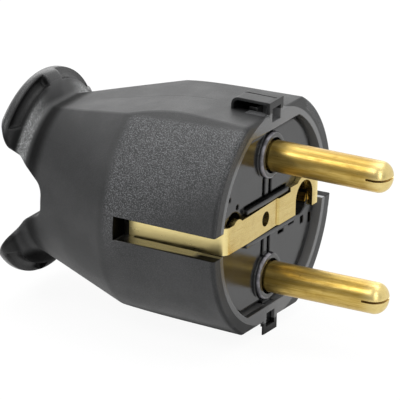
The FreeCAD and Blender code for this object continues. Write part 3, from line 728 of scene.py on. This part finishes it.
# Drawn along the pins, and rolled along the strap
PIN_LINES = (0.09, 2.2, 2.2)
STRAP_LINES = (0.12, 0.12, 2.6)
pin_brass = make_brass("pin_brass", BRASS_BRIGHT, BRASS_DEEP, PIN_LINES, 0.016, 0.3, 0.36, 0.0)
strap_brass = make_brass("strap_brass", STRAP_BRIGHT, STRAP_DEEP, STRAP_LINES, 0.004, 0.15, 0.26, 0.8)
finishes = {
    "cover_plastic": make_cover_plastic(),
    "carrier_plastic": make_carrier_plastic(),
    "retainer_plastic": make_retainer_plastic(),
    "pin_brass": pin_brass,
    "strap_brass": strap_brass,
    "screw_steel": make_screw_steel(),
    "screw_black": make_screw_black(),
    "grommet_rubber": make_grommet_rubber(),
}

for entry in frame["record"]["subparts"]:
    piece = nodes[entry["node"]]
    for slot in piece.material_slots:
        slot.material = finishes[entry["material_slot"]]


# Studio

def make_floor_white():
    """White where it is seen or mirrored, and matt for the shadow."""
    material = bpy.data.materials.new("floor_white")
    material.use_nodes = True
    tree = material.node_tree
    tree.nodes.clear()
    matt = place(tree, "BsdfDiffuse", {"Color": FLOOR_GREY})
    white = place(tree, "Emission", {"Color": WHITE, "Strength": FLOOR_WHITE})
    path = place(tree, "LightPath").outputs
    mirrored = product(tree, path["Is Glossy Ray"], FLOOR_MIRRORED_SHARE)
    seen = greatest(tree, path["Is Camera Ray"], mirrored, path["Is Transmission Ray"])
    share = product(tree, seen, FLOOR_WHITE_SHARE)
    mixed = place(tree, "MixShader", {0: share, 1: matt.outputs[0], 2: white.outputs[0]})
    place(tree, "OutputMaterial", {"Surface": mixed.outputs[0]})
    return material


def make_floor():
    """A pale floor that shows white and keeps a faint shadow."""
    half = FLOOR_HALF_WIDTH
    level = cad_box[0][2] - FLOOR_GAP
    mesh = bpy.data.meshes.new("studio_floor")
    corners = [(-half, -half, level), (half, -half, level), (half, half, level), (-half, half, level)]
    mesh.from_pydata(corners, [], [(0, 1, 2, 3)])
    mesh.materials.append(make_floor_white())
    floor = bpy.data.objects.new("studio_floor", mesh)
    bpy.context.scene.collection.objects.link(floor)


def make_world():
    """White seen straight on, and a studio that is bright above and behind and dimmer on the room's side."""
    world = bpy.data.worlds.new("studio_world")
    bpy.context.scene.world = world
    world.use_nodes = True
    tree = world.node_tree
    tree.nodes.clear()
    toward = place(tree, "SeparateXYZ", {0: place(tree, "TexCoord").outputs["Generated"]}).outputs
    overhead = rise(tree, toward[2], -0.1, 0.8, 0.0, 0.55)
    behind = rise(tree, toward[1], -0.5, 0.6, 0.0, 0.45)
    level = sum_of(tree, "ADD", sum_of(tree, "ADD", overhead, behind), 0.22)
    path = place(tree, "LightPath").outputs
    backdrop = product(tree, path["Is Glossy Ray"], rise(tree, toward[1], 0.0, 0.5))
    seen = greatest(tree, path["Is Camera Ray"], path["Is Transmission Ray"], backdrop)
    strength = place(tree, "Mix", {0: seen, 2: level, 3: 1.0}, data_type="FLOAT").outputs[0]
    background = place(tree, "Background", {"Color": WHITE, "Strength": strength})
    place(tree, "OutputWorld", {"Surface": background.outputs[0]})


def add_softbox(name, spot, target, width, height, watts):
    """A rectangular lamp aimed at a point."""
    lamp = bpy.data.lights.new(name, "AREA")
    lamp.shape = "RECTANGLE"
    lamp.size = width
    lamp.size_y = height
    lamp.energy = watts
    box = bpy.data.objects.new(name, lamp)
    box.location = spot
    box.rotation_euler = (Vector(target) - Vector(spot)).to_track_quat("-Z", "Y").to_euler()
    box.visible_camera = False
    bpy.context.scene.collection.objects.link(box)


def add_camera():
    """The camera of the picture."""
    lens = bpy.data.cameras.new("picture_camera")
    lens.sensor_fit = "HORIZONTAL"
    lens.sensor_width = SENSOR_WIDTH
    lens.lens = FOCAL_PIXELS * SENSOR_WIDTH / PICTURE_WIDTH
    lens.clip_start = 0.01
    lens.clip_end = 20.0
    camera = bpy.data.objects.new("picture_camera", lens)
    turn = Matrix((PICTURE_RIGHT, -PICTURE_DOWN, -LINE_OF_SIGHT)).transposed()
    camera.matrix_world = Matrix.Translation(CAMERA_PLACE) @ turn.to_4x4()
    bpy.context.scene.collection.objects.link(camera)
    bpy.context.scene.camera = camera


make_floor()
make_world()
for softbox in SOFTBOXES:
    add_softbox(*softbox)
add_camera()
bpy.context.scene.view_settings.view_transform = "Standard"
